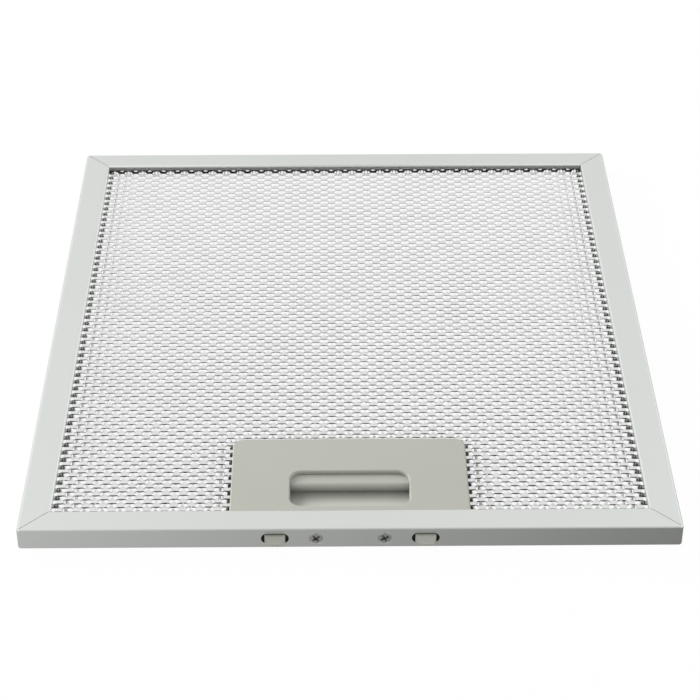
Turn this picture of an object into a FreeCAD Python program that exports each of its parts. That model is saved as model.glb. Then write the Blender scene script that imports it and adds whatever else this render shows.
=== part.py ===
import FreeCAD, Part
import math
import os
import Sketcher

Vector = FreeCAD.Vector
doc = FreeCAD.newDocument("grease_filter")

# Driving dimensions in millimetres.
SIZES = {
    # folded aluminium frame
    "frame_width": 267.5,
    "frame_depth": 305.5,
    "frame_height": 9.8,
    "flange_width": 12.5,
    "sheet_gauge": 0.8,
    "lip_height": 2.3,
    "bend_radius": 1.0,
    "corner_radius": 1.3,
    "seam_width": 0.2,
    "lap_length": 14,
    # expanded metal pack
    "guard_height": 0.8,
    "guard_gauge": 0.35,
    "row_pitch": 2.7,
    "slit_width": 0.9,
    "layer_pitch": 14,
    "layer_gauge": 0.2,
    # plastic handle
    "plate_width": 98,
    "plate_back": 61,
    "plate_sunk": 0.8,
    "plate_corner": 5,
    "plate_overlap": 4.8,
    "moulding_wall": 1.2,
    "edge_round": 0.8,
    "edge_bevel": 0.5,
    "opening_width": 49,
    "opening_front": 16,
    "opening_back": 38.6,
    "opening_corner": 5,
    "pocket_depth": 4.6,
    "scoop_lip": 1.5,
    "scoop_run": 12,
    "bar_front": 31.2,
    "bar_depth": 14.5,
    "bar_round": 2,
    "peg_width": 2.6,
    # latch tongues, springs and screws
    "tongue_spacing": 60.6,
    "tongue_width": 8.3,
    "tongue_reach": 4.6,
    "tip_width": 5.4,
    "tip_height": 0.9,
    "slot_width": 11.2,
    "slot_height": 5,
    "latch_travel": 5,
    "spring_spacing": 40,
    "spring_diameter": 3.4,
    "spring_wire": 0.45,
    "spring_turns": 6,
    "screw_spacing": 27.6,
    "screw_head": 5.5,
    "screw_shank": 2.7,
    "screw_length": 9.5,
    # clearances
    "seat_gap": 0.1,
    "slide_gap": 0.25,
    "notch_gap": 0.5,
}

# Places worked out from the driving dimensions; handle places run back from the front wall.
PLACES = {
    "front_wall": "(Sizes.tongue_reach - Sizes.frame_depth) / 2",
    "frame_centre": "Sizes.tongue_reach / 2",
    "frame_x": "Sizes.frame_width / 2",
    "frame_y": "Sizes.frame_depth / 2",
    "web_x": "frame_x - Sizes.sheet_gauge",
    "web_y": "frame_y - Sizes.sheet_gauge",
    "window_x": "frame_x - Sizes.flange_width",
    "window_y": "frame_y - Sizes.flange_width",
    "lip_x": "window_x + Sizes.sheet_gauge",
    "lip_y": "window_y + Sizes.sheet_gauge",
    "web_height": "Sizes.frame_height - 2 * Sizes.sheet_gauge",
    "upper_flange": "Sizes.frame_height - Sizes.sheet_gauge",
    "upper_lip": "Sizes.frame_height - Sizes.lip_height",
    "lip_drop": "Sizes.lip_height - Sizes.sheet_gauge",
    "mid_height": "Sizes.frame_height / 2",
    "seam_half": "Sizes.seam_width * 0.3536",
    "seam_in_x": "window_x - 1",
    "seam_in_y": "window_y - 1",
    "seam_out_x": "frame_x - Sizes.bend_radius",
    "seam_out_y": "frame_y - Sizes.bend_radius",
    "seam_in_x_low": "seam_in_x - seam_half",
    "seam_in_x_high": "seam_in_x + seam_half",
    "seam_in_y_low": "seam_in_y - seam_half",
    "seam_in_y_high": "seam_in_y + seam_half",
    "seam_out_x_low": "seam_out_x - seam_half",
    "seam_out_x_high": "seam_out_x + seam_half",
    "seam_out_y_low": "seam_out_y - seam_half",
    "seam_out_y_high": "seam_out_y + seam_half",
    "lap_x": "web_x - Sizes.sheet_gauge",
    "lap_y": "web_y - Sizes.lap_length",
    "lap_height": "upper_lip - Sizes.lip_height",
    "strip_end_x_low": "frame_x + 1 - seam_half",
    "strip_end_x_high": "frame_x + 1 + seam_half",
    "strip_end_y_low": "frame_y + 1 - seam_half",
    "strip_end_y_high": "frame_y + 1 + seam_half",
    "wall_cut": "2 * Sizes.sheet_gauge",
    "slot_x": "Sizes.tongue_spacing / 2",
    "slot_radius": "Sizes.slot_height / 2",
    "slot_near_x": "slot_x - Sizes.slot_width / 2 + slot_radius",
    "slot_far_x": "slot_x + Sizes.slot_width / 2 - slot_radius",
    "screw_x": "Sizes.screw_spacing / 2",
    "screw_hole": "Sizes.screw_head + Sizes.seat_gap",
    "shank_hole": "Sizes.screw_shank + Sizes.seat_gap",
    # mesh pack
    "pack_low": "Sizes.lip_height + Sizes.seat_gap",
    "pack_high": "upper_lip - Sizes.seat_gap",
    "pack_x": "lap_x - Sizes.notch_gap",
    "pack_y": "web_y - Sizes.sheet_gauge - Sizes.notch_gap",
    "layer_gap": "Sizes.seat_gap / 2",
    "layer_height": "(pack_high - pack_low - 2 * Sizes.guard_height - 5 * layer_gap) / 4",
    # handle mouldings
    "plate_x": "Sizes.plate_width / 2",
    "plate_front": "Sizes.flange_width + Sizes.seat_gap",
    "plate_high": "Sizes.frame_height - Sizes.plate_sunk",
    "plate_low": "pack_high + layer_gap",
    "plate_thick": "plate_high - plate_low",
    "base_low": "Sizes.plate_sunk + 0",
    "base_high": "pack_low - layer_gap",
    "base_thick": "base_high - base_low",
    "skirt_x": "plate_x - Sizes.plate_overlap - Sizes.notch_gap",
    "skirt_back": "Sizes.plate_back - Sizes.plate_overlap / 2 - Sizes.notch_gap",
    "notch_x": "skirt_x + Sizes.notch_gap",
    "notch_back": "skirt_back + Sizes.notch_gap",
    "platform_thick": "Sizes.moulding_wall / 2",
    "platform_high": "base_high + platform_thick",
    "skirt_low": "platform_high + Sizes.seat_gap",
    "skirt_height": "plate_low - skirt_low",
    "nose_front": "Sizes.sheet_gauge + Sizes.seat_gap",
    "ceiling": "upper_lip - Sizes.seat_gap",
    "chamber_height": "ceiling - skirt_low",
    "chamber_back": "skirt_back - Sizes.moulding_wall",
    "arm_inner": "slot_x - Sizes.tongue_width / 2",
    "arm_outer": "slot_x + Sizes.tongue_width / 2",
    "guide_inner": "arm_inner - Sizes.slide_gap",
    "guide_outer": "arm_outer + Sizes.slide_gap",
    "nose_x": "guide_outer + Sizes.moulding_wall",
    "core_x": "skirt_x - Sizes.moulding_wall",
    "core_front": "plate_front + Sizes.moulding_wall",
    "opening_x": "Sizes.opening_width / 2",
    "opening_cut": "plate_high - ceiling",
    "tub_back": "Sizes.bar_front - 2 * Sizes.slide_gap",
    "pocket_floor": "plate_high - Sizes.pocket_depth",
    "scoop_high": "plate_high - Sizes.scoop_lip",
    "scoop_low": "pocket_floor - Sizes.seat_gap",
    "scoop_back": "Sizes.opening_front + Sizes.scoop_run",
    "scoop_root": "Sizes.opening_front - Sizes.moulding_wall",
    "pilot_rim": "screw_hole - 2 * nose_front",
    "pilot_depth": "Sizes.screw_length + 1",
    "peg_x": "(nose_x + core_x) / 2",
    "peg_half": "Sizes.peg_width / 2",
    "peg_left": "peg_x - peg_half",
    "peg_right": "peg_x + peg_half",
    "peg_front": "(core_front + chamber_back - Sizes.peg_width) / 2",
    "peg_back": "peg_front + Sizes.peg_width",
    "hole_left": "peg_left - Sizes.seat_gap / 2",
    "hole_right": "peg_right + Sizes.seat_gap / 2",
    "hole_front": "peg_front - Sizes.seat_gap / 2",
    "hole_back": "peg_back + Sizes.seat_gap / 2",
    "boss_left": "peg_left - Sizes.moulding_wall",
    "boss_right": "peg_right + Sizes.moulding_wall",
    "boss_front": "peg_front - Sizes.moulding_wall",
    "boss_back": "peg_back + Sizes.moulding_wall",
    "peg_high": "(skirt_low + ceiling) / 2",
    "peg_length": "peg_high - platform_high",
    "peg_hole_depth": "peg_high - skirt_low + Sizes.notch_gap",
    # latch slider
    "slider_low": "skirt_low + Sizes.seat_gap",
    "bar_back": "Sizes.bar_front + Sizes.bar_depth",
    "bar_thick": "ceiling - Sizes.slide_gap - slider_low",
    "arm_thick": "Sizes.frame_height - 2 * slider_low",
    "arm_high": "Sizes.frame_height - slider_low",
    "tongue_root": "Sizes.tongue_reach / 4",
    "tip_inner": "slot_x - Sizes.tip_width / 2",
    "tip_outer": "slot_x + Sizes.tip_width / 2",
    "tip_low": "mid_height - Sizes.tip_height / 2",
    "tip_high": "mid_height + Sizes.tip_height / 2",
    # springs
    "spring_x": "Sizes.spring_spacing / 2",
    "spring_axis": "(slider_low + ceiling - Sizes.slide_gap) / 2",
    "spring_room": "chamber_back - bar_back",
    "coil_radius": "(Sizes.spring_diameter - Sizes.spring_wire) / 2",
    "coil_height": "spring_room - Sizes.spring_wire - Sizes.seat_gap",
    "spigot_half": "(Sizes.spring_diameter / 2 - Sizes.spring_wire - Sizes.slide_gap) * 0.7",
    "spigot_left": "spring_x - spigot_half",
    "spigot_right": "spring_x + spigot_half",
    "spigot_low": "spring_axis - spigot_half",
    "spigot_high": "spring_axis + spigot_half",
    "spigot_length": "spring_room - Sizes.latch_travel - Sizes.moulding_wall",
    # screws
    "head_radius": "Sizes.screw_head / 2",
    "shank_radius": "Sizes.screw_shank / 2",
    "head_depth": "head_radius - shank_radius",
    "recess_reach": "Sizes.screw_head * 0.29",
    "recess_half": "Sizes.screw_head * 0.075",
    "recess_depth": "Sizes.screw_head * 0.2",
    "on_axis": "0 * Sizes.screw_head",
}

sizes = doc.addObject("Spreadsheet::Sheet", "Sizes")
for row, (alias, size) in enumerate(SIZES.items(), 1):
    sizes.set("A%d" % row, alias)
    sizes.set("B%d" % row, str(size))
    sizes.setAlias("B%d" % row, alias)

places = doc.addObject("Spreadsheet::Sheet", "Places")
for row, (alias, formula) in enumerate(PLACES.items(), 1):
    places.set("A%d" % row, alias)
    places.set("B%d" % row, "=" + formula)
    places.setAlias("B%d" % row, alias)
doc.recompute()


def number(name):
    alias = name.lstrip("-")
    size = float(getattr(sizes if alias in SIZES else places, alias))
    return -size if name.startswith("-") else size


def cell(name):
    alias = name.lstrip("-")
    return name[: len(name) - len(alias)] + ("Sizes." if alias in SIZES else "Places.") + alias


def new_body(label, offset):
    body = doc.addObject("PartDesign::Body", label)
    body.Label = label
    body.setExpression("Placement.Base.y", cell(offset))
    return body


def new_sketch(body, name, plane, offset=None):
    sketch = body.newObject("Sketcher::SketchObject", name)
    support = [item for item in body.Origin.OriginFeatures if item.Role == plane]
    sketch.AttachmentSupport = [(support[0], "")]
    sketch.MapMode = "FlatFace"
    if offset:
        sketch.setExpression("AttachmentOffset.Base.z", cell(offset))
    return sketch


def bind(sketch, kind, links, name):
    index = sketch.addConstraint(Sketcher.Constraint(kind, *links, number(name)))
    sketch.setExpression("Constraints[%d]" % index, cell(name))


def add_loop(sketch, corners):
    spots = [Vector(number(x), number(y), 0) for x, y in corners]
    first = sketch.GeometryCount
    for start, end in zip(spots, spots[1:] + spots[:1]):
        sketch.addGeometry(Part.LineSegment(start, end), False)
    for step, (x, y) in enumerate(corners):
        line = first + step
        following = first + (step + 1) % len(corners)
        sketch.addConstraint(Sketcher.Constraint("Coincident", line, 2, following, 1))
        for kind, name, axis in (("DistanceX", x, -2), ("DistanceY", y, -1)):
            if name == "on_axis":
                sketch.addConstraint(Sketcher.Constraint("PointOnObject", line, 1, axis))
            else:
                bind(sketch, kind, (-1, 1, line, 1), name)


def add_box(sketch, left, right, front, back):
    add_loop(sketch, [(left, front), (right, front), (right, back), (left, back)])


def add_circle(sketch, x, y, diameter):
    centre = Vector(number(x), number(y), 0)
    circle = sketch.addGeometry(Part.Circle(centre, Vector(0, 0, 1), number(diameter) / 2), False)
    bind(sketch, "DistanceX", (-1, 1, circle, 3), x)
    bind(sketch, "DistanceY", (-1, 1, circle, 3), y)
    bind(sketch, "Diameter", (circle,), diameter)


def add_slot(sketch, near_x, far_x, y, radius):
    size = number(radius)
    height = number(y)
    left, right = Vector(number(near_x), height, 0), Vector(number(far_x), height, 0)
    up, turn = Vector(0, size, 0), Vector(0, 0, 1)
    first = sketch.addGeometry(Part.LineSegment(left - up, right - up), False)
    quarter = math.pi / 2
    sketch.addGeometry(Part.ArcOfCircle(Part.Circle(right, turn, size), -quarter, quarter), False)
    sketch.addGeometry(Part.LineSegment(right + up, left + up), False)
    sketch.addGeometry(Part.ArcOfCircle(Part.Circle(left, turn, size), quarter, 3 * quarter), False)
    for step in range(4):
        links = (first + step, 2, first + (step + 1) % 4, 1)
        sketch.addConstraint(Sketcher.Constraint("Tangent", *links))
    sketch.addConstraint(Sketcher.Constraint("Horizontal", first))
    bind(sketch, "Radius", (first + 1,), radius)
    bind(sketch, "DistanceX", (-1, 1, first + 1, 3), far_x)
    bind(sketch, "DistanceX", (-1, 1, first + 3, 3), near_x)
    bind(sketch, "DistanceY", (-1, 1, first + 1, 3), y)


def add_scoop(sketch):
    low, high = number("scoop_low"), number("scoop_high")
    root, front, back = number("scoop_root"), number("opening_front"), number("scoop_back")
    floor = number("pocket_floor")
    run, rise = back - front, high - floor
    radius = (run * run + rise * rise) / (2 * rise)
    circle = Part.Circle(Vector(back, floor + radius, 0), Vector(0, 0, 1), radius)
    down = 3 * math.pi / 2
    corners = [(back, floor), (back, low), (root, low), (root, high), (front, high)]
    spots = [Vector(y, z, 0) for y, z in corners]
    for start, end in zip(spots, spots[1:]):
        sketch.addGeometry(Part.LineSegment(start, end), False)
    sketch.addGeometry(Part.ArcOfCircle(circle, down - math.asin(run / radius), down), False)
    for line in range(4):
        sketch.addConstraint(Sketcher.Constraint("Coincident", line, 2, line + 1, 1))
        sketch.addConstraint(Sketcher.Constraint(("Vertical", "Horizontal")[line % 2], line))
    sketch.addConstraint(Sketcher.Constraint("Perpendicular", 4, 2, 0, 1))
    bind(sketch, "DistanceX", (-1, 1, 0, 1), "scoop_back")
    bind(sketch, "DistanceY", (-1, 1, 0, 1), "pocket_floor")
    bind(sketch, "DistanceX", (-1, 1, 2, 1), "scoop_root")
    bind(sketch, "DistanceY", (-1, 1, 2, 1), "scoop_low")
    bind(sketch, "DistanceX", (-1, 1, 3, 2), "opening_front")
    bind(sketch, "DistanceY", (-1, 1, 3, 2), "scoop_high")


def sweep(body, kind, name, sketch, length, reverse=False):
    feature = body.newObject("PartDesign::" + kind, name)
    feature.Profile = sketch
    feature.setExpression("Length", cell(length))
    feature.Reversed = reverse
    doc.recompute()
    return feature


def soften(body, name, size, wanted, kind="Fillet"):
    tip = body.Tip
    edges = ["Edge%d" % (i + 1) for i, edge in enumerate(tip.Shape.Edges) if wanted(edge)]
    feature = body.newObject("PartDesign::" + kind, name)
    feature.Base = (tip, edges)
    feature.setExpression("Radius" if kind == "Fillet" else "Size", cell(size))
    doc.recompute()
    return feature


def drill(body, name, offset, rim, depth):
    centres = new_sketch(body, name + "_centres", "XZ_Plane", offset)
    for x in ("-screw_x", "screw_x"):
        add_circle(centres, x, "mid_height", "shank_hole")
    hole = body.newObject("PartDesign::Hole", name)
    hole.Profile = centres
    doc.recompute()
    hole.DepthType = "Dimension"
    hole.DrillPoint = "Flat"
    hole.setExpression("Depth", cell(depth))
    hole.setExpression("Diameter", cell("shank_hole"))
    hole.HoleCutType = "Countersink"
    hole.setExpression("HoleCutDiameter", cell(rim))
    hole.HoleCutCountersinkAngle = 90
    doc.recompute()
    return hole


def near(first, second):
    return abs(first - second) < 1e-4


def level(edge, height):
    return near(edge.BoundBox.ZMin, height) and near(edge.BoundBox.ZMax, height)


def upright(edge):
    return edge.BoundBox.XLength < 1e-4 and edge.BoundBox.YLength < 1e-4


# Frame: one strip with a web, two flanges and turned-in lips.
frame = new_body("frame", "frame_centre")
RINGS = [
    ("lower_flange", None, "sheet_gauge", "frame", "window"),
    ("web", "sheet_gauge", "web_height", "frame", "web"),
    ("upper_flange", "upper_flange", "sheet_gauge", "frame", "window"),
    ("lower_lip", "sheet_gauge", "lip_drop", "lip", "window"),
    ("upper_lip", "upper_lip", "lip_drop", "lip", "window"),
]
for name, height, length, outer, inner in RINGS:
    ring = new_sketch(frame, name + "_outline", "XY_Plane", height)
    for side in (outer, inner):
        add_box(ring, "-%s_x" % side, side + "_x", "-%s_y" % side, side + "_y")
    sweep(frame, "Pad", name, ring, length)


def widest(edge):
    box = edge.BoundBox
    return max(abs(box.XMin), abs(box.XMax)), max(abs(box.YMin), abs(box.YMax))


def on_face(edge):
    return level(edge, 0) or level(edge, number("frame_height"))


def outer_corner(edge):
    return upright(edge) and near(widest(edge)[0], number("frame_x"))


def outer_rim(edge):
    reach_x, reach_y = widest(edge)
    return on_face(edge) and (reach_x > number("web_x") or reach_y > number("web_y"))


def window_rim(edge):
    return on_face(edge) and widest(edge)[0] < number("lip_x")


soften(frame, "corner_bends", "corner_radius", outer_corner)
soften(frame, "flange_bends", "bend_radius", outer_rim)
soften(frame, "lip_bends", "bend_radius", window_rim)

# Mitre seams across both flanges; the strip's two ends meet at the rear right corner over a lap.
CORNERS = [("-", "-"), ("", "-"), ("", ""), ("-", "")]


def seam(sketch, side, end, outer):
    add_loop(
        sketch,
        [
            (side + "seam_in_x_low", end + "seam_in_y_high"),
            (side + outer + "_x_low", end + outer + "_y_high"),
            (side + outer + "_x_high", end + outer + "_y_low"),
            (side + "seam_in_x_high", end + "seam_in_y_low"),
        ],
    )


for name, height, upward in (("upper_seams", "frame_height", False), ("lower_seams", None, True)):
    mitres = new_sketch(frame, name + "_outline", "XY_Plane", height)
    for side, end in CORNERS:
        seam(mitres, side, end, "seam_out")
    sweep(frame, "Pocket", name, mitres, "lip_height", upward)
joint = new_sketch(frame, "strip_ends_outline", "XY_Plane", "frame_height")
seam(joint, "", "", "strip_end")
sweep(frame, "Pocket", "strip_ends", joint, "frame_height")
lap = new_sketch(frame, "closing_lap_outline", "XY_Plane", "lip_height")
add_box(lap, "lap_x", "web_x", "lap_y", "web_y")
sweep(frame, "Pad", "closing_lap", lap, "lap_height")

# Latch slots and screw holes in the front wall.
slots = new_sketch(frame, "latch_slots_outline", "XZ_Plane", "frame_y")
add_slot(slots, "slot_near_x", "slot_far_x", "mid_height", "slot_radius")
add_slot(slots, "-slot_far_x", "-slot_near_x", "mid_height", "slot_radius")
sweep(frame, "Pocket", "latch_slots", slots, "wall_cut")
drill(frame, "screw_holes", "frame_y", "screw_hole", "wall_cut")

# Expanded metal pack: two guards of slanted strands with a gap behind each, four crossed foil layers.
def block(x_low, x_high, y_low, y_high, z_low, z_high):
    size = (x_high - x_low, y_high - y_low, z_high - z_low)
    return Part.makeBox(*size, Vector(x_low, y_low, z_low))


def prism(outline, start, end, along_x):
    spots = [Vector(start, along, up) if along_x else Vector(along, start, up) for along, up in outline]
    face = Part.Face(Part.makePolygon(spots + spots[:1]))
    return face.extrude(Vector(end - start, 0, 0) if along_x else Vector(0, end - start, 0))


notch_x = number("notch_x")
notch_y = number("notch_back") - number("frame_y")
pack_x = number("pack_x")
pack_y = number("pack_y")


def without_notch(sheet, height):
    return sheet.cut(block(-notch_x, notch_x, -number("frame_y"), notch_y, -1, height + 1))


def guard_sheet():
    pitch = number("row_pitch")
    gap = number("slit_width")
    gauge = number("guard_gauge")
    height = number("guard_height")
    rows = int(2 * number("lip_y") / pitch)
    strand = pitch - gap
    first = -rows * pitch / 2 + gap / 2
    side = number("lip_x")
    rim = block(-pack_x, pack_x, -pack_y, pack_y, 0, height)
    rim = rim.cut(block(-side, side, first, -first, -1, height + 1))
    cover = number("plate_x") - number("notch_gap")
    cover_y = number("plate_back") - number("notch_gap") - number("frame_y")
    pieces = [block(-cover, cover, -pack_y, cover_y, 0, height)]
    for row in range(rows):
        front = first + row * pitch
        back = front + strand
        outline = [(front, 0), (back, height - gauge), (back, height), (front, gauge)]
        pieces.append(prism(outline, -side - gap, side + gap, True))
    return without_notch(rim.fuse(pieces), height).removeSplitter()


def foil_layer(along_x):
    pitch = number("layer_pitch")
    gauge = number("layer_gauge")
    height = number("layer_height")
    span, reach = (pack_y, pack_x) if along_x else (pack_x, pack_y)
    folds = int(2 * span / pitch)
    start = -folds * pitch / 2
    upper = []
    for fold in range(folds):
        upper.append((start + fold * pitch, gauge))
        upper.append((start + (fold + 0.5) * pitch, height))
    upper.append((-start, gauge))
    lower = [(along, up - gauge) for along, up in reversed(upper)]
    return without_notch(prism(upper + lower, -reach, reach, along_x), height)


def new_sheet(label, shape, height):
    sheet = doc.addObject("Part::Feature", label)
    sheet.Label = label
    sheet.Shape = shape
    sheet.Placement.Base = Vector(0, number("frame_centre"), height)
    return sheet


guard = guard_sheet()
upper_guard = new_sheet("upper_guard_mesh", guard, number("pack_high") - number("guard_height"))
lower_guard = new_sheet("lower_guard_mesh", guard.copy(), number("pack_low"))
layers = []
lowest = number("pack_low") + number("guard_height") + number("layer_gap")
layer_step = number("layer_height") + number("layer_gap")
for index in range(4):
    label = "filter_layer_%d" % (index + 1)
    layers.append(new_sheet(label, foil_layer(index % 2 == 1), lowest + index * layer_step))

# Upper moulding: plate, skirt and nose, hollowed for the slider, with the finger pocket on top.
plate = new_body("handle_plate", "front_wall")
outline = new_sketch(plate, "plate_outline", "XY_Plane", "plate_low")
add_box(outline, "-plate_x", "plate_x", "plate_front", "plate_back")
sweep(plate, "Pad", "plate", outline, "plate_thick")


def rear_corner(edge):
    return upright(edge) and near(edge.BoundBox.YMax, number("plate_back"))


soften(plate, "plate_corners", "plate_corner", rear_corner)
skirt = new_sketch(plate, "skirt_outline", "XY_Plane", "skirt_low")
add_box(skirt, "-skirt_x", "skirt_x", "plate_front", "skirt_back")
sweep(plate, "Pad", "skirt", skirt, "skirt_height")
nose = new_sketch(plate, "nose_outline", "XY_Plane", "skirt_low")
add_box(nose, "-nose_x", "nose_x", "nose_front", "plate_front")
sweep(plate, "Pad", "nose", nose, "chamber_height")
chamber = new_sketch(plate, "chamber_outline", "XY_Plane", "skirt_low")
add_loop(
    chamber,
    [
        ("-guide_outer", "sheet_gauge"),
        ("-guide_inner", "sheet_gauge"),
        ("-guide_inner", "tub_back"),
        ("guide_inner", "tub_back"),
        ("guide_inner", "sheet_gauge"),
        ("guide_outer", "sheet_gauge"),
        ("guide_outer", "chamber_back"),
        ("-guide_outer", "chamber_back"),
    ],
)
sweep(plate, "Pocket", "chamber", chamber, "chamber_height", True)
cores = new_sketch(plate, "cores_outline", "XY_Plane", "skirt_low")
holes = new_sketch(plate, "peg_holes_outline", "XY_Plane", "skirt_low")
for left, right, ends in (("-core_x", "-nose_x", ("-%s_right", "-%s_left")), ("nose_x", "core_x", ("%s_left", "%s_right"))):
    add_box(cores, left, right, "core_front", "chamber_back")
    add_box(cores, ends[0] % "boss", ends[1] % "boss", "boss_front", "boss_back")
    add_box(holes, ends[0] % "hole", ends[1] % "hole", "hole_front", "hole_back")
sweep(plate, "Pocket", "cores", cores, "chamber_height", True)
sweep(plate, "Pocket", "peg_holes", holes, "peg_hole_depth", True)
opening = new_sketch(plate, "opening_outline", "XY_Plane", "plate_high")
add_box(opening, "-opening_x", "opening_x", "opening_front", "opening_back")
sweep(plate, "Pocket", "opening", opening, "opening_cut")
pocket = new_sketch(plate, "pocket_outline", "XY_Plane", "plate_high")
add_box(pocket, "-opening_x", "opening_x", "opening_front", "bar_front")
sweep(plate, "Pocket", "finger_pocket", pocket, "pocket_depth")


def inside(edge):
    box = edge.BoundBox
    return number("plate_front") + 1e-4 < box.YMin and box.YMax < number("plate_back") - number("plate_corner")


def opening_corner(edge):
    box = edge.BoundBox
    ends = near(box.YMax, number("opening_front")) or near(box.YMax, number("opening_back"))
    return upright(edge) and ends and near(widest(edge)[0], number("opening_x"))


def opening_rim(edge):
    return level(edge, number("plate_high")) and widest(edge)[0] < number("opening_x") + 1e-4 and inside(edge)


def plate_rim(edge):
    return level(edge, number("plate_high")) and edge.BoundBox.YMax > number("plate_front") + 1e-4 and not inside(edge)


soften(plate, "opening_corners", "opening_corner", opening_corner)
soften(plate, "opening_edges", "edge_round", opening_rim)
soften(plate, "plate_edges", "edge_bevel", plate_rim, "Chamfer")
scoop = new_sketch(plate, "scoop_outline", "YZ_Plane")
add_scoop(scoop)
sweep(plate, "Pad", "scoop", scoop, "opening_width").Midplane = True
doc.recompute()
drill(plate, "screw_pilots", "-nose_front", "pilot_rim", "pilot_depth")

# Lower moulding: rim under the mesh, platform for the slider and pegs into the upper moulding.
base = new_body("handle_base", "front_wall")
outline = new_sketch(base, "base_outline", "XY_Plane", "base_low")
add_box(outline, "-plate_x", "plate_x", "plate_front", "plate_back")
sweep(base, "Pad", "base", outline, "base_thick")
soften(base, "base_corners", "plate_corner", rear_corner)


def base_rim(edge):
    return level(edge, number("base_low")) and edge.BoundBox.YMax > number("plate_front") + 1e-4


soften(base, "base_edges", "edge_bevel", base_rim, "Chamfer")
platform = new_sketch(base, "platform_outline", "XY_Plane", "base_high")
add_box(platform, "-skirt_x", "skirt_x", "plate_front", "skirt_back")
sweep(base, "Pad", "platform", platform, "platform_thick")
pegs = new_sketch(base, "pegs_outline", "XY_Plane", "platform_high")
add_box(pegs, "-peg_right", "-peg_left", "peg_front", "peg_back")
add_box(pegs, "peg_left", "peg_right", "peg_front", "peg_back")
sweep(base, "Pad", "pegs", pegs, "peg_length")

# Latch slider: finger bar, two arms ending in tapered tongues, spring guides behind.
slider = new_body("latch_slider", "front_wall")
bar = new_sketch(slider, "bar_outline", "XY_Plane", "slider_low")
add_box(bar, "-arm_outer", "arm_outer", "bar_front", "bar_back")
sweep(slider, "Pad", "bar", bar, "bar_thick")


def bar_edge(edge):
    box = edge.BoundBox
    return box.XLength > number("arm_outer") and near(box.YMax, number("bar_front")) and box.ZMin > number("mid_height")


soften(slider, "bar_front_edge", "bar_round", bar_edge)
arms = new_sketch(slider, "arms_outline", "XY_Plane", "slider_low")
for near_x, far_x in (("-arm_outer", "-arm_inner"), ("arm_inner", "arm_outer")):
    add_box(arms, near_x, far_x, "-tongue_root", "bar_back")
sweep(slider, "Pad", "arms", arms, "arm_thick")
for side, ends in (("left", ("-%s_outer", "-%s_inner")), ("right", ("%s_inner", "%s_outer"))):
    tongue = slider.newObject("PartDesign::AdditiveWedge", side + "_tongue")
    for name, place in {
        "Xmin": ends[0] % "tip",
        "Xmax": ends[1] % "tip",
        "Ymin": "-tongue_reach",
        "Ymax": "-tongue_root",
        "Zmin": "tip_low",
        "Zmax": "tip_high",
        "X2min": ends[0] % "arm",
        "X2max": ends[1] % "arm",
        "Z2min": "slider_low",
        "Z2max": "arm_high",
    }.items():
        tongue.setExpression(name, cell(place))
    doc.recompute()
spigots = new_sketch(slider, "spring_spigots_outline", "XZ_Plane", "-bar_back")
add_box(spigots, "-spigot_right", "-spigot_left", "spigot_low", "spigot_high")
add_box(spigots, "spigot_left", "spigot_right", "spigot_low", "spigot_high")
sweep(slider, "Pad", "spring_spigots", spigots, "spigot_length", True)

# Return springs between the bar and the rear wall of the moulding.
def coil_spring():
    steps = 10
    half = number("spring_wire") / 2
    radius = number("coil_radius")
    turns = number("spring_turns")
    count = int(steps * turns)
    sections = []
    for step in range(count + 1):
        angle = 2 * math.pi * step / steps
        along = number("seat_gap") / 2 + half + number("coil_height") * step / count
        ring = []
        for out, over in ((-half, -half), (half, -half), (half, half), (-half, half)):
            reach = radius + out
            ring.append(Vector(reach * math.cos(angle), along + over, reach * math.sin(angle)))
        sections.append(Part.makePolygon(ring + ring[:1]))
    return Part.makeLoft(sections, True, True)


springs = []
coil = coil_spring()
for label, x in (("left_return_spring", "-spring_x"), ("right_return_spring", "spring_x")):
    spring = doc.addObject("Part::Feature", label)
    spring.Label = label
    spring.Shape = coil.copy()
    start = number("front_wall") + number("bar_back")
    spring.Placement.Base = Vector(number(x), start, number("spring_axis"))
    springs.append(spring)

# Countersunk screws through the front wall into the nose.
screws = []
for label, x in (("left_screw", "-screw_x"), ("right_screw", "screw_x")):
    screw = new_body(label, "front_wall")
    screw.setExpression("Placement.Base.x", cell(x))
    screw.setExpression("Placement.Base.z", cell("mid_height"))
    profile = new_sketch(screw, label + "_profile", "XY_Plane")
    add_loop(
        profile,
        [
            ("on_axis", "on_axis"),
            ("head_radius", "on_axis"),
            ("shank_radius", "head_depth"),
            ("shank_radius", "screw_length"),
            ("on_axis", "screw_length"),
        ],
    )
    turned = screw.newObject("PartDesign::Revolution", label + "_turned")
    turned.Profile = profile
    turned.ReferenceAxis = (profile, ["V_Axis"])
    turned.Angle = 360
    doc.recompute()
    cross = new_sketch(screw, label + "_cross", "XZ_Plane")
    arm = ("recess_half", "recess_reach")
    quarter = [(arm[1], arm[0]), (arm[0], arm[0]), (arm[0], arm[1])]
    corners = quarter
    corners = corners + [("-" + a, b) for a, b in reversed(quarter)]
    corners = corners + [("-" + a, "-" + b) for a, b in quarter]
    corners = corners + [(a, "-" + b) for a, b in reversed(quarter)]
    add_loop(cross, corners)
    sweep(screw, "Pocket", label + "_recess", cross, "recess_depth")
    screws.append(screw)
handle_screws = doc.addObject("Part::Compound", "handle_screws")
handle_screws.Label = "handle_screws"
handle_screws.Links = screws

doc.recompute()
for item in doc.Objects:
    broken = [word for word in item.State if word in ("Invalid", "Error")]
    if broken:
        raise RuntimeError("%s did not build: %s" % (item.Label, broken))

nodes = [frame, upper_guard, *layers, lower_guard, plate, base, slider, *springs, handle_screws]
os.makedirs("parts", exist_ok=True)
for node in nodes:
    if node.Shape.isNull() or not node.Shape.isValid():
        raise RuntimeError("%s has no sound shape" % node.Label)
    node.Shape.exportStep("parts/%s.step" % node.Label)
    print(node.Label, len(node.Shape.Solids), round(node.Shape.Volume, 1), node.Shape.BoundBox)
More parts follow.
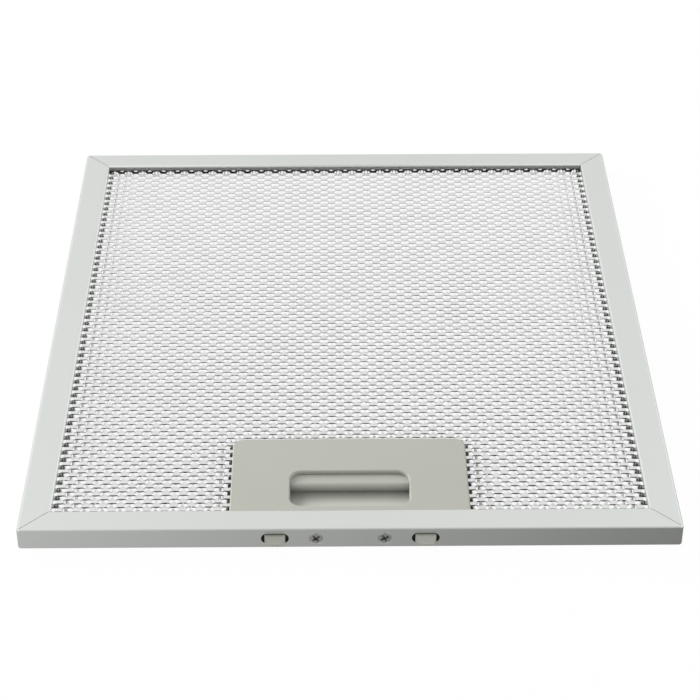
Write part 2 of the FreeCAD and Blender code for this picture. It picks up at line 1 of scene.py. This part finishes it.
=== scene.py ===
import math

import bmesh
import bpy
from mathutils import Matrix, Vector


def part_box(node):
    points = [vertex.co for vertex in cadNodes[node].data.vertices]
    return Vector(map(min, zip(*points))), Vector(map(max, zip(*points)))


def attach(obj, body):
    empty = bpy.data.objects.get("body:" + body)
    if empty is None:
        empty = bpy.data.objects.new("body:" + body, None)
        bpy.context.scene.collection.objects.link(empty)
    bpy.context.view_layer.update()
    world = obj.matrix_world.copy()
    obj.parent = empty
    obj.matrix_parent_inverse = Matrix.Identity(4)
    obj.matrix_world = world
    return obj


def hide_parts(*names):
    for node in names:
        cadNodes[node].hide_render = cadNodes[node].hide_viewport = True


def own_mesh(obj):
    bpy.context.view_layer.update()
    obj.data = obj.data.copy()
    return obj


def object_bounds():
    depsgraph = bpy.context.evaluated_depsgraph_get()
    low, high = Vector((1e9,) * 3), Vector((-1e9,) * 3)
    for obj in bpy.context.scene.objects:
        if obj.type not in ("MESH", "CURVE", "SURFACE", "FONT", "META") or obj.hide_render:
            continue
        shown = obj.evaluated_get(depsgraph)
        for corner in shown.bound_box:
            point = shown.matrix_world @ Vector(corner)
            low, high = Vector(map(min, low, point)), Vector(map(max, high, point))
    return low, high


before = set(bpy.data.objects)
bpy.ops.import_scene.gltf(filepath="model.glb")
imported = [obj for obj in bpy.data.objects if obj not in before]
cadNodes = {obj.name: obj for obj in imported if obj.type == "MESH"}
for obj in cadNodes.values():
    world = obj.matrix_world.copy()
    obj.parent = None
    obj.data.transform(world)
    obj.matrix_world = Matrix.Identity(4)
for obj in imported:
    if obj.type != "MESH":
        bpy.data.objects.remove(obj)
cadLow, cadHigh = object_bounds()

mm = 0.001
quarterTurn = math.radians(90)
weld = 0.002  # corners closer than this are one, in millimetres
fineWeld = 0.001
scene = bpy.context.scene
scene.view_settings.view_transform = "Standard"


class Wire:  # a shader socket that can be used in sums
    def __init__(self, tree, socket=None):
        self.tree = tree
        self.socket = socket

    def node(self, kind, settings, sockets, out=0):
        made = self.tree.nodes.new("ShaderNode" + kind)
        for key, value in settings.items():
            setattr(made, key, value)
        for key, value in sockets.items():
            if isinstance(value, Wire):
                self.tree.links.new(value.socket, made.inputs[key])
            else:
                made.inputs[key].default_value = value
        return Wire(self.tree, made.outputs[out] if made.outputs else None)

    def maths(self, operation, first, second=0.0):
        return self.node("Math", {"operation": operation}, {0: first, 1: second})

    def axis(self, letter):
        return self.node("SeparateXYZ", {}, {0: self}, letter)

    def __add__(self, other):
        return self.maths("ADD", self, other)

    def __sub__(self, other):
        return self.maths("SUBTRACT", self, other)

    def __rsub__(self, other):
        return self.maths("SUBTRACT", other, self)

    def __mul__(self, other):
        return self.maths("MULTIPLY", self, other)

    def __lt__(self, other):
        return self.maths("LESS_THAN", self, other)

    def __abs__(self):
        return self.maths("ABSOLUTE", self)

    __radd__ = __add__
    __rmul__ = __mul__


def newMaterial(name):
    material = bpy.data.materials.new(name)
    material.use_nodes = True
    material.node_tree.nodes.clear()
    start = Wire(material.node_tree)
    start.here = start.node("TexCoord", {}, {}, "Object")
    return material, start


def finishMaterial(start, shader):
    start.node("OutputMaterial", {}, {"Surface": shader})


# photo camera
photoView = {
    "place": (-0.00606, -0.80115, 0.54567),
    "pitchDown": 34.607,
    "turnRight": 0.521,
    "lens": 107.96,
    "sensor": 36.0,
}
cameraData = bpy.data.cameras.new("photoCamera")
cameraData.lens = photoView["lens"]
cameraData.sensor_width = photoView["sensor"]
cameraData.sensor_fit = "HORIZONTAL"
camera = bpy.data.objects.new("photoCamera", cameraData)
camera.location = photoView["place"]
camera.rotation_euler = (
    math.radians(90 - photoView["pitchDown"]),
    0,
    math.radians(-photoView["turnRight"]),
)
scene.collection.objects.link(camera)
scene.camera = camera
print("camera placed")

# white studio: a floor, a pale surround and three soft lamps
studio = {
    "floorSize": 3.0,
    "floorColour": (0.92, 0.92, 0.92, 1.0),
    "floorGlow": 0.97,
    "floorInMetal": 0.39,  # the floor that bright metal mirrors, brighter to the left
    "floorToLeft": 1.2,
    "floorDarkest": 0.18,
    "floorBrightest": 0.6,
    "fillLow": 0.18,
    "fillRise": 0.52,
    "surround": 0.41,  # the rest of what bright metal mirrors
    "fromLeft": 0.14,
    "fromBehind": 0.22,
    "fromAbove": 0.25,
    "sides": 1.0,
    "brightest": 1.12,
    "darkest": 0.05,
}
lamps = {
    "keyLamp": {"place": (-1.0, 0.6, 0.5), "size": 0.5, "power": 15.0},  # low, behind
    "leftLamp": {"place": (-1.1, -0.1, 0.55), "size": 0.9, "power": 3.5},
    "rightLamp": {"place": (1.1, -0.1, 0.55), "size": 0.9, "power": 3.5},
}


def seenDirectly(start):
    kinds = ("Is Camera Ray", "Is Glossy Ray", "Is Transmission Ray")
    direct, glossy, through = [start.node("LightPath", {}, {}, kind) for kind in kinds]
    return direct.maths("MINIMUM", direct + glossy + through, 1.0), glossy


def makeWorld():
    world = bpy.data.worlds.new("studioSurround")
    scene.world = world
    world.use_nodes = True
    world.node_tree.nodes.clear()
    start = Wire(world.node_tree)
    way = start.node("TexCoord", {}, {}, "Generated")
    seen, glossy = seenDirectly(start)
    height = way.maths("MAXIMUM", way.axis("Z"), 0.0)
    metalSees = (
        studio["surround"]
        + studio["sides"] * abs(way.axis("X"))
        + studio["fromBehind"] * way.axis("Y")
        - studio["fromLeft"] * way.axis("X")
        + studio["fromAbove"] * height
    )
    limits = {0: metalSees, 1: studio["darkest"], 2: studio["brightest"]}
    metalSees = metalSees.node("Clamp", {}, limits)
    fill = studio["fillLow"] + studio["fillRise"] * height
    level = seen - glossy + glossy * metalSees + (1 - seen) * fill
    shader = start.node("Background", {}, {"Color": (1.0, 1.0, 1.0, 1.0), "Strength": level})
    start.node("OutputWorld", {}, {"Surface": shader})


def makeFloor():
    material, start = newMaterial("studioFloor")
    seen, glossy = seenDirectly(start)
    matt = start.node("BsdfDiffuse", {}, {"Color": studio["floorColour"]})
    mirrored = studio["floorInMetal"] - studio["floorToLeft"] * start.here.axis("X")
    limits = {0: mirrored, 1: studio["floorDarkest"], 2: studio["floorBrightest"]}
    mirrored = mirrored.node("Clamp", {}, limits)
    glow = start.node("Emission", {}, {"Strength": seen - glossy + glossy * mirrored})
    shader = start.node("MixShader", {}, {0: seen * studio["floorGlow"], 1: matt, 2: glow})
    finishMaterial(start, shader)
    bm = bmesh.new()
    bmesh.ops.create_grid(bm, x_segments=1, y_segments=1, size=studio["floorSize"])
    bmesh.ops.translate(bm, vec=(0, 0, cadLow.z), verts=bm.verts)
    mesh = bpy.data.meshes.new("studioFloor")
    bm.to_mesh(mesh)
    bm.free()
    mesh.materials.append(material)
    floor = bpy.data.objects.new("studioFloor", mesh)
    scene.collection.objects.link(floor)


def makeLamp(name, spec):
    lampData = bpy.data.lights.new(name, "AREA")
    lampData.size = spec["size"]
    lampData.energy = spec["power"]
    lamp = bpy.data.objects.new(name, lampData)
    lamp.visible_glossy = False  # metal mirrors the surround only
    lamp.location = spec["place"]
    lamp.rotation_euler = (-Vector(spec["place"])).to_track_quat("-Z", "Y").to_euler()
    scene.collection.objects.link(lamp)


makeWorld()
makeFloor()
for lampName, lampSpec in lamps.items():
    makeLamp(lampName, lampSpec)
print("studio ready")


def addMesh(bm, other):  # joins a second bmesh to the first
    mesh = bpy.data.meshes.new("joined")
    other.to_mesh(mesh)
    other.free()
    bm.from_mesh(mesh)
    bpy.data.meshes.remove(mesh)


def newPiece(name, bm, body, slot, material, *nodes):
    mesh = bpy.data.meshes.new(name)
    bm.to_mesh(mesh)
    bm.free()
    mesh.materials.append(material)
    piece = bpy.data.objects.new(name, mesh)
    scene.collection.objects.link(piece)
    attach(piece, body)
    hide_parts(*nodes)
    return piece


# finishes
brightSheet = {
    "colour": (0.95, 0.95, 0.95, 1.0),
    "dull": (0.84, 0.84, 0.84, 1.0),
    "rough": 0.22,
    "roughSpread": 0.10,
    "patch": 90.0,
}


def cloudedMetal(name, spec):  # bare metal, bright and dull in soft patches
    material, start = newMaterial(name)
    cloud = start.node("TexNoise", {}, {"Vector": start.here, "Scale": spec["patch"], "Detail": 3.0})
    tone = start.node("Mix", {"data_type": "RGBA"}, {0: cloud, 6: spec["dull"], 7: spec["colour"]}, 2)
    shader = start.node("BsdfPrincipled", {}, {
        "Base Color": tone,
        "Metallic": 1.0,
        "Roughness": spec["rough"] + cloud * spec["roughSpread"],
    })
    finishMaterial(start, shader)
    return material


guardMetal = cloudedMetal("guardAluminium", brightSheet)
# the foils are aluminium like the guard, drawn darker as painted shade of the sheets deep in the pack
shadedFoilSheet = {
    "colour": (0.46, 0.46, 0.46, 1.0),
    "dull": (0.34, 0.34, 0.34, 1.0),
    "rough": 0.40,
    "roughSpread": 0.2,
    "patch": 400.0,
}
shadedFoilMetal = cloudedMetal("foilAluminiumShaded", shadedFoilSheet)

# expanded sheet: zigzag strands joined at their bends, sizes in millimetres
upperGuard = {
    "longWay": 7.2,
    "shortWay": 5.15,
    "backFlat": 2.8,
    "strand": 1.50,
    "gauge": 0.25,
    "overlap": 0.04,  # lets the strands meet at their bends
    "frontLean": 60.0,
    "backLean": 10.0,
    "legParts": 2,
    "top": 7.4,
    "margin": 5.0,  # how far the sheet stops short of its node, under the frame
    "turned": False,
    "underside": False,
}


def strandPair(spec):
    longWay, shortWay, strand = spec["longWay"], spec["shortWay"], spec["strand"]
    front, back = math.radians(spec["frontLean"]), math.radians(spec["backLean"])
    swing = shortWay / 2 - strand / 2 * (math.cos(front) + math.cos(back))
    drop = strand / 2 * (math.sin(front) + math.sin(back))
    parts = spec["legParts"]
    run = (longWay - spec["backFlat"]) / 2
    rising = Vector((run, swing, -drop)) / parts
    falling = Vector((run, -swing, drop)) / parts
    turn = (back - front) / parts
    level = Vector((spec["backFlat"], 0, 0))
    steps = [(rising, turn)] * parts + [(level, 0)] + [(falling, -turn)] * parts
    bm = bmesh.new()
    bmesh.ops.create_grid(bm, x_segments=1, y_segments=1, size=0.5)
    bmesh.ops.scale(bm, vec=(strand + spec["overlap"], spec["gauge"], 1), verts=bm.verts)
    stand = Matrix.Rotation(quarterTurn, 3, "Z") @ Matrix.Rotation(quarterTurn, 3, "X")
    stand = Matrix.Rotation(front, 3, "X") @ stand
    bmesh.ops.rotate(bm, cent=(0, 0, 0), matrix=stand, verts=bm.verts)
    middle = Vector((0, 0, 0))
    end = list(bm.faces)
    for step, twist in steps:
        grown = bmesh.ops.extrude_face_region(bm, geom=end)["geom"]
        moved = [g for g in grown if isinstance(g, bmesh.types.BMVert)]
        bmesh.ops.rotate(bm, cent=middle, matrix=Matrix.Rotation(twist, 3, "X"), verts=moved)
        bmesh.ops.translate(bm, vec=step, verts=moved)
        middle = middle + step
        end = [g for g in grown if isinstance(g, bmesh.types.BMFace)]
    nearEnd = 0.01
    caps = [f for f in bm.faces if not nearEnd < f.calc_center_median().x < longWay - nearEnd]
    bmesh.ops.delete(bm, geom=caps, context="FACES_ONLY")
    # both legs split alike
    bmesh.ops.triangulate(bm, faces=bm.faces[:], quad_method="SHORT_EDGE")
    copy = bmesh.ops.duplicate(bm, geom=bm.verts[:] + bm.edges[:] + bm.faces[:])["geom"]
    moved = [g for g in copy if isinstance(g, bmesh.types.BMVert)]
    bmesh.ops.translate(bm, vec=(longWay / 2, shortWay / 2, 0), verts=moved)
    return bm


def repeat(bm, step, count):
    everything = bm.verts[:] + bm.edges[:] + bm.faces[:]
    bmesh.ops.spin(
        bm, geom=everything, cent=(0, 0, 0), axis=(0, 0, 1), dvec=step, angle=0,
        steps=count - 1, use_duplicate=True,
    )


def trim(bm, point, outward):
    everything = bm.verts[:] + bm.edges[:] + bm.faces[:]
    bmesh.ops.bisect_plane(bm, geom=everything, plane_co=point, plane_no=outward, clear_outer=True)


def closeCuts(bm):
    bmesh.ops.holes_fill(bm, edges=[e for e in bm.edges if e.is_boundary], sides=0)


def expandedSheet(spec, size):
    bm = strandPair(spec)
    across = math.ceil(size.x / spec["longWay"]) + 2
    down = math.ceil(size.y / spec["shortWay"]) + 2
    repeat(bm, (spec["longWay"], 0, 0), across)
    repeat(bm, (0, spec["shortWay"], 0), down)
    bmesh.ops.remove_doubles(bm, verts=bm.verts, dist=weld)
    peak = max(v.co.z for v in bm.verts)
    middle = Vector((across * spec["longWay"] / 2, down * spec["shortWay"] / 2, peak))
    bmesh.ops.translate(bm, vec=-middle, verts=bm.verts)
    for side in (1, -1):
        trim(bm, (side * size.x / 2, 0, 0), (side, 0, 0))
        trim(bm, (0, side * size.y / 2, 0), (0, side, 0))
    return bm


# the sheets are cut out below the handle plate, but run in under its rim
notch = {"sideRim": 4.8, "backRim": 2.4, "reach": 8.0}


def cutNotch(bm, low, high):
    reach = notch["reach"]  # only the faces this near are cut
    for point, outward in ((low, (-1, 0, 0)), (high, (1, 0, 0)), (high, (0, 1, 0))):
        around = set()
        for face in bm.faces:
            place = face.calc_center_median()
            if low.x - reach < place.x < high.x + reach and place.y < high.y + reach:
                around.add(face)
                around.update(face.edges)
                around.update(face.verts)
        bmesh.ops.bisect_plane(bm, geom=list(around), plane_co=point, plane_no=outward)
    inside = []
    for face in bm.faces:
        place = face.calc_center_median()
        if low.x < place.x < high.x and place.y < high.y:
            inside.append(face)
    bmesh.ops.delete(bm, geom=inside, context="FACES")


def placedSheet(spec, low, high):
    size = high - low - Vector((1, 1, 0)) * 2 * spec["margin"]
    if spec["turned"]:
        bm = expandedSheet(spec, Vector((size.y, size.x, 0)))
        turn = Matrix.Rotation(quarterTurn, 3, "Z")
        bmesh.ops.rotate(bm, cent=(0, 0, 0), matrix=turn, verts=bm.verts)
    else:
        bm = expandedSheet(spec, size)
    if spec["underside"]:
        bmesh.ops.scale(bm, vec=(1, 1, -1), verts=bm.verts)
    place = Vector(((low.x + high.x) / 2, (low.y + high.y) / 2, spec["top"]))
    bmesh.ops.translate(bm, vec=place, verts=bm.verts)
    plateLow, plateHigh = [Vector(corner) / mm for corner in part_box("handle_plate")]
    side, back = notch["sideRim"], notch["backRim"]
    cutNotch(bm, plateLow + Vector((side, 0, 0)), plateHigh - Vector((side, back, 0)))
    closeCuts(bm)
    bmesh.ops.recalc_face_normals(bm, faces=bm.faces)
    bmesh.ops.scale(bm, vec=(mm, mm, mm), verts=bm.verts)
    return bm


def sheetPiece(name, specs, slot, material, *nodes):
    low, high = [Vector(corner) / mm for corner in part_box(nodes[0])]
    bm = placedSheet(specs[0], low, high)
    for spec in specs[1:]:
        addMesh(bm, placedSheet(spec, low, high))
    print(name, "triangles", sum(len(f.verts) - 2 for f in bm.faces))
    newPiece(name, bm, "filter", slot, material, *nodes)


sheetPiece("upperGuardSheet", [upperGuard], "guard_aluminium", guardMetal, "upper_guard_mesh")
lowerGuard = dict(upperGuard, top=2.4, underside=True)
sheetPiece("lowerGuardSheet", [lowerGuard], "guard_aluminium", guardMetal, "lower_guard_mesh")

# four foils, each crossed with the next
foil = {
    "longWay": 9.0,
    "shortWay": 6.0,
    "backFlat": 1.0,
    "strand": 1.3,
    "gauge": 0.10,
    "overlap": 0.04,
    "frontLean": 4.0,
    "backLean": 9.0,
    "legParts": 1,
    "top": 5.64,
    "margin": 5.0,
    "turned": True,
    "underside": False,
}
upperFoils = [foil, dict(foil, top=5.26, turned=False)]
lowerFoils = [dict(foil, top=4.16, underside=True), dict(foil, top=4.54, turned=False, underside=True)]
sheetPiece("upperFoilSheets", upperFoils, "foil_aluminium", shadedFoilMetal, "filter_layer_4", "filter_layer_3")
sheetPiece("lowerFoilSheets", lowerFoils, "foil_aluminium", shadedFoilMetal, "filter_layer_1", "filter_layer_2")
print("mesh pack ready")


def dress(material, *nodes):
    for node in nodes:
        cadNodes[node].data.materials.clear()
        cadNodes[node].data.materials.append(material)


# folded frame: satin rolled sheet, its streaks running along each side
frameSheet = {
    "colour": (0.82, 0.845, 0.815, 1.0),
    "dull": (0.78, 0.805, 0.775, 1.0),
    "rough": 0.36,
    "roughSpread": 0.08,
    "streakLong": 25.0,
    "streakFine": 1400.0,
    "streakShare": 0.6,
    "cloud": 18.0,
    "bump": 0.02,
    "bumpHeight": 0.0002,
    "slotWidth": 11.2,
    "slotHeight": 5.0,
    "slotSpacing": 60.6,
    "slotFacets": 36,
    "slotAhead": 1.0,
    "slotDepth": 2.5,
}


def rolledAluminium(name, spec):
    material, start = newMaterial(name)
    low, high = [Vector(corner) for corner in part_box("frame")]
    middle, half = (low + high) / 2, (high - low) / 2
    fromSide = abs(start.here.axis("X") - middle.x) - half.x
    fromEnd = abs(start.here.axis("Y") - middle.y) - half.y
    onEnds = fromSide < fromEnd
    long, fine = spec["streakLong"], spec["streakFine"]
    streaks = []
    for size in ((fine, long, fine), (long, fine, fine)):
        stretched = start.node("Mapping", {}, {"Vector": start.here, "Scale": size})
        streaks.append(start.node("TexNoise", {}, {"Vector": stretched, "Scale": 1.0, "Detail": 2.0}))
    streak = onEnds * streaks[1] + (1 - onEnds) * streaks[0]
    cloud = start.node("TexNoise", {}, {"Vector": start.here, "Scale": spec["cloud"], "Detail": 2.0})
    worn = streak * spec["streakShare"] + cloud * (1 - spec["streakShare"])
    tone = start.node("Mix", {"data_type": "RGBA"}, {0: worn, 6: spec["dull"], 7: spec["colour"]}, 2)
    relief = {"Strength": spec["bump"], "Distance": spec["bumpHeight"], "Height": streak}
    grain = start.node("Bump", {}, relief)
    shader = start.node("BsdfPrincipled", {}, {
        "Base Color": tone,
        "Metallic": 1.0,
        "Roughness": spec["rough"] + worn * spec["roughSpread"],
        "Normal": grain,
    })
    finishMaterial(start, shader)
    return material


def slotCutter(spec, across, low, high):
    bm = bmesh.new()
    facets = spec["slotFacets"]
    bmesh.ops.create_circle(bm, cap_ends=True, segments=facets, radius=spec["slotHeight"] / 2)
    halfStep = Matrix.Rotation(math.radians(180 / facets), 3, "Z")  # no corner stays in the middle
    bmesh.ops.rotate(bm, cent=(0, 0, 0), matrix=halfStep, verts=bm.verts)
    straight = (spec["slotWidth"] - spec["slotHeight"]) / 2
    for vert in bm.verts:
        vert.co.x += math.copysign(straight, vert.co.x)
    upright = Matrix.Rotation(quarterTurn, 3, "X")
    bmesh.ops.rotate(bm, cent=(0, 0, 0), matrix=upright, verts=bm.verts)
    place = (across, low.y - spec["slotAhead"], (low.z + high.z) / 2)
    bmesh.ops.translate(bm, vec=place, verts=bm.verts)
    grown = bmesh.ops.extrude_face_region(bm, geom=bm.faces[:], use_keep_orig=True)["geom"]
    moved = [g for g in grown if isinstance(g, bmesh.types.BMVert)]
    bmesh.ops.translate(bm, vec=(0, spec["slotDepth"], 0), verts=moved)
    bmesh.ops.recalc_face_normals(bm, faces=bm.faces)
    bmesh.ops.scale(bm, vec=(mm, mm, mm), verts=bm.verts)
    mesh = bpy.data.meshes.new("slotCutter")
    bm.to_mesh(mesh)
    bm.free()
    cutter = bpy.data.objects.new("slotCutter", mesh)
    scene.collection.objects.link(cutter)
    return cutter


def framePiece(name, spec, material):  # the node's own shape with truly round slot ends
    low, high = [Vector(corner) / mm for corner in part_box("frame")]
    bm = bmesh.new()
    bm.from_mesh(cadNodes["frame"].data)
    bmesh.ops.remove_doubles(bm, verts=bm.verts, dist=weld * mm)
    piece = newPiece(name, bm, "filter", "frame_aluminium", material, "frame")
    cutters = [slotCutter(spec, side * spec["slotSpacing"] / 2, low, high) for side in (-1, 1)]
    for cutter in cutters:
        cut = piece.modifiers.new("roundSlot", "BOOLEAN")
        cut.object = cutter
        cut.solver = "EXACT"
    bpy.context.view_layer.update()
    finished = piece.evaluated_get(bpy.context.evaluated_depsgraph_get())
    shaped = bpy.data.meshes.new_from_object(finished)
    piece.modifiers.clear()
    piece.data = shaped
    for cutter in cutters:
        bpy.data.objects.remove(cutter)
    print(name, "faces", len(shaped.polygons))


framePiece("foldedFrame", frameSheet, rolledAluminium("frameAluminium", frameSheet))

# moulded plastic of the handle, fine matt grain, with painted shade inside the frame and in the finger
# pocket
handlePlastic = {
    "colour": (0.500, 0.505, 0.450, 1.0),
    "shade": (0.465, 0.470, 0.418, 1.0),
    "rough": 0.52,
    "roughSpread": 0.12,
    "gloss": 0.35,
    "cloud": 60.0,
    "grain": 2600.0,
    "bump": 0.10,
    "bumpHeight": 0.0001,
    "shadedInsideFrom": -0.1382,  # painted shade in front of this, inside the frame
    # near-black colour of the painted shade
    "paintedShadeColour": (0.02, 0.02, 0.018, 1.0),
    "pocket": (-0.1300, -0.1192),  # painted shade in the finger pocket, darker towards the bar
    "pocketLap": 0.0004,
    "pocketTop": 0.0086,
    # how far the painted pocket shade darkens
    "pocketShadeStrength": 0.75,
}
latchPlastic = dict(
    handlePlastic,
    colour=(0.490, 0.500, 0.445, 1.0),
    shade=(0.455, 0.463, 0.410, 1.0),
    # the slider gets no painted shade
    shadedInsideFrom=-1.0,
    pocketShadeStrength=0.0,
)


def mattPlastic(name, spec):
    material, start = newMaterial(name)
    grain = start.node("TexNoise", {}, {"Vector": start.here, "Scale": spec["grain"], "Detail": 2.0})
    cloud = start.node("TexNoise", {}, {"Vector": start.here, "Scale": spec["cloud"], "Detail": 2.0})
    mottle = grain * 0.5 + cloud * 0.5
    tone = start.node("Mix", {"data_type": "RGBA"}, {0: mottle, 6: spec["shade"], 7: spec["colour"]}, 2)
    back, up = start.here.axis("Y"), start.here.axis("Z")
    insideFrameShade = back < spec["shadedInsideFrom"]  # painted shade on the plate inside the frame, seen only through the slots
    pocketFront, pocketBack = spec["pocket"]
    # painted shade in the finger pocket, smoothly darker towards the bar
    span = {0: back, 1: pocketFront, 2: pocketBack}
    creviceShade = back.node("MapRange", {"interpolation_type": "SMOOTHSTEP"}, span)
    creviceShade = creviceShade * (back < pocketBack + spec["pocketLap"]) * (up < spec["pocketTop"])
    creviceShade = creviceShade * spec["pocketShadeStrength"]
    paintedShadeMask = insideFrameShade.maths("MAXIMUM", insideFrameShade, creviceShade)
    # both painted shades darken the plastic towards near-black
    tone = start.node("Mix", {"data_type": "RGBA"}, {0: paintedShadeMask, 6: tone, 7: spec["paintedShadeColour"]}, 2)
    relief = {"Strength": spec["bump"], "Distance": spec["bumpHeight"], "Height": grain}
    bump = start.node("Bump", {}, relief)
    shader = start.node("BsdfPrincipled", {}, {
        "Base Color": tone,
        "Roughness": spec["rough"] + grain * spec["roughSpread"],
        "Specular IOR Level": spec["gloss"],
        "Normal": bump,
    })
    finishMaterial(start, shader)
    return material


dress(mattPlastic("handlePlastic", handlePlastic), "handle_plate", "handle_base")

latch = {
    "roundEdge": 0.9,
    "roundParts": 3,
    "outside": -150.6,  # what lies in front of this is a tongue
    "sharp": 0.3,
    "flat": 1.0,  # degrees
}


def latchPiece(name, node, spec, material):  # the node's shape with its tongues rounded off
    bm = bmesh.new()
    bm.from_mesh(cadNodes[node].data)
    bmesh.ops.scale(bm, vec=(1 / mm, 1 / mm, 1 / mm), verts=bm.verts)
    bmesh.ops.remove_doubles(bm, verts=bm.verts, dist=weld)
    flat = math.radians(spec["flat"])
    bmesh.ops.dissolve_limit(bm, angle_limit=flat, verts=bm.verts, edges=bm.edges)
    tongues = [e for e in bm.edges if min(v.co.y for v in e.verts) < spec["outside"]]
    outer = [e for e in tongues if e.calc_face_angle(0) > spec["sharp"]]
    bmesh.ops.bevel(
        bm, geom=outer, offset=spec["roundEdge"], offset_type="OFFSET", affect="EDGES",
        segments=spec["roundParts"], profile=0.5, material=-1, clamp_overlap=True,
    )
    bmesh.ops.recalc_face_normals(bm, faces=bm.faces)
    bmesh.ops.scale(bm, vec=(mm, mm, mm), verts=bm.verts)
    print(name, "faces", len(bm.faces))
    newPiece(name, bm, "latch", "latch_plastic", material, node)


latchPiece("latchSlider", "latch_slider", latch, mattPlastic("latchPlastic", latchPlastic))
print("frame and handle dressed")

# steel for the springs and screws
springWire = {
    "colour": (0.60, 0.60, 0.59, 1.0),
    "dull": (0.45, 0.45, 0.44, 1.0),
    "rough": 0.28,
    "roughSpread": 0.15,
    "patch": 900.0,
}
screwPlating = {
    "colour": (0.66, 0.66, 0.65, 1.0),
    "dull": (0.42, 0.42, 0.41, 1.0),
    "rough": 0.25,
    "roughSpread": 0.20,
    "patch": 1200.0,
}
springSteel = cloudedMetal("springSteel", springWire)
screwSteel = cloudedMetal("screwSteel", screwPlating)

springs = {"wire": 0.45, "turns": 6, "facets": 8, "turnSteps": 20, "squeezed": 0.55}


def springPiece(name, node, spec):
    low, high = [Vector(corner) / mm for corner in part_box(node)]
    middle = (low + high) / 2
    wire, steps = spec["wire"], spec["turnSteps"]
    openTurns = spec["turns"] - 2
    openPitch = (high.y - low.y - 3 * wire) / openTurns  # less two closed turns and the wire itself
    bm = bmesh.new()
    bmesh.ops.create_circle(bm, cap_ends=True, segments=spec["facets"], radius=wire / 2)
    first = Vector((high.x - wire / 2, low.y + wire / 2, middle.z))
    bmesh.ops.translate(bm, vec=first, verts=bm.verts)
    end = list(bm.faces)
    for turns, pitch in ((1, wire), (openTurns, openPitch), (1, wire)):
        last = bmesh.ops.spin(
            bm, geom=end, cent=middle, axis=(0, 1, 0), dvec=(0, pitch / steps, 0),
            angle=math.radians(360 * turns), steps=steps * turns,
        )["geom_last"]
        end = [g for g in last if isinstance(g, bmesh.types.BMFace)]
    inner = [f for f in bm.faces if len(f.verts) == spec["facets"] and f not in end]
    bmesh.ops.delete(bm, geom=inner, context="FACES_ONLY")
    bmesh.ops.remove_doubles(bm, verts=bm.verts, dist=fineWeld)
    closeCuts(bm)
    bmesh.ops.recalc_face_normals(bm, faces=bm.faces)
    bmesh.ops.scale(bm, vec=(mm, mm, mm), verts=bm.verts)
    for face in bm.faces:
        face.smooth = True
    piece = newPiece(name, bm, "filter", "spring_steel", springSteel, node)
    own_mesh(piece)


springPiece("leftReturnSpring", "left_return_spring", springs)
springPiece("rightReturnSpring", "right_return_spring", springs)
print("springs wound")

# countersunk screws with a cross recess
screws = {
    "head": 5.5,
    "rim": 0.22,
    "rimRise": 0.06,
    "rimDrop": 0.12,
    "coneDepth": 1.5,
    "shank": 2.7,
    "length": 9.5,
    "point": 1.5,
    "tip": 0.4,
    "facets": 32,
    "crossSpan": 3.6,
    "crossArm": 1.0,
    "crossDepth": 1.6,
    "crossTaper": 0.6,
    "crown": 0.25,
    "turns": (38.0, 28.0),
}


def addScrew(bm, place, turn, spec):
    new = bmesh.new()
    bmesh.ops.create_grid(new, x_segments=3, y_segments=3, size=spec["crossSpan"] / 2)
    for vert in new.verts:  # narrow the middle lines to the width of an arm
        for axis in (0, 1):
            if abs(vert.co[axis]) < spec["crossSpan"] / 4:
                vert.co[axis] = math.copysign(spec["crossArm"] / 2, vert.co[axis])
    arm = spec["crossArm"] / 2
    corners = [f for f in new.faces if min(abs(c) for c in f.calc_center_median().xy) > arm]
    bmesh.ops.delete(new, geom=corners, context="FACES")
    mouth = list(new.faces)
    bmesh.ops.translate(new, vec=(0, 0, spec["crown"]), verts=new.verts)
    grown = bmesh.ops.extrude_face_region(new, geom=mouth, use_keep_orig=True)["geom"]
    floor = [g for g in grown if isinstance(g, bmesh.types.BMVert)]
    bmesh.ops.scale(new, vec=(spec["crossTaper"], spec["crossTaper"], 1), verts=floor)
    bmesh.ops.translate(new, vec=(0, 0, -spec["crossDepth"]), verts=floor)
    bmesh.ops.delete(new, geom=mouth, context="FACES_ONLY")
    radius, shank = spec["head"] / 2, spec["shank"] / 2
    outline = [
        (radius - spec["rim"], spec["rimRise"]),
        (radius, -spec["rimDrop"]),
        (shank, -spec["coneDepth"]),
        (shank, spec["point"] - spec["length"]),
        (spec["tip"], -spec["length"]),
    ]
    points = [new.verts.new((across, 0, up)) for across, up in outline]
    profile = points + [new.edges.new(pair) for pair in zip(points, points[1:])]
    bmesh.ops.spin(
        new, geom=profile, cent=(0, 0, 0), axis=(0, 0, 1), angle=math.radians(360),
        steps=spec["facets"], use_merge=True,
    )
    bmesh.ops.remove_doubles(new, verts=new.verts, dist=fineWeld)
    headRim = [e for e in new.edges if e.is_boundary and min(v.co.z for v in e.verts) > 0]
    bmesh.ops.bridge_loops(new, edges=headRim)
    closeCuts(new)
    bmesh.ops.recalc_face_normals(new, faces=new.faces)
    facing = Matrix.Rotation(quarterTurn, 3, "X") @ Matrix.Rotation(math.radians(turn), 3, "Z")
    bmesh.ops.rotate(new, cent=(0, 0, 0), matrix=facing, verts=new.verts)
    bmesh.ops.translate(new, vec=place, verts=new.verts)
    addMesh(bm, new)


def screwPiece(name, node, spec):
    low, high = [Vector(corner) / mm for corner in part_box(node)]
    bm = bmesh.new()
    for across, turn in zip((low.x + spec["head"] / 2, high.x - spec["head"] / 2), spec["turns"]):
        addScrew(bm, Vector((across, low.y, (low.z + high.z) / 2)), turn, spec)
    bmesh.ops.scale(bm, vec=(mm, mm, mm), verts=bm.verts)
    newPiece(name, bm, "filter", "screw_steel", screwSteel, node)


screwPiece("handleScrews", "handle_screws", screws)
print("screws in")
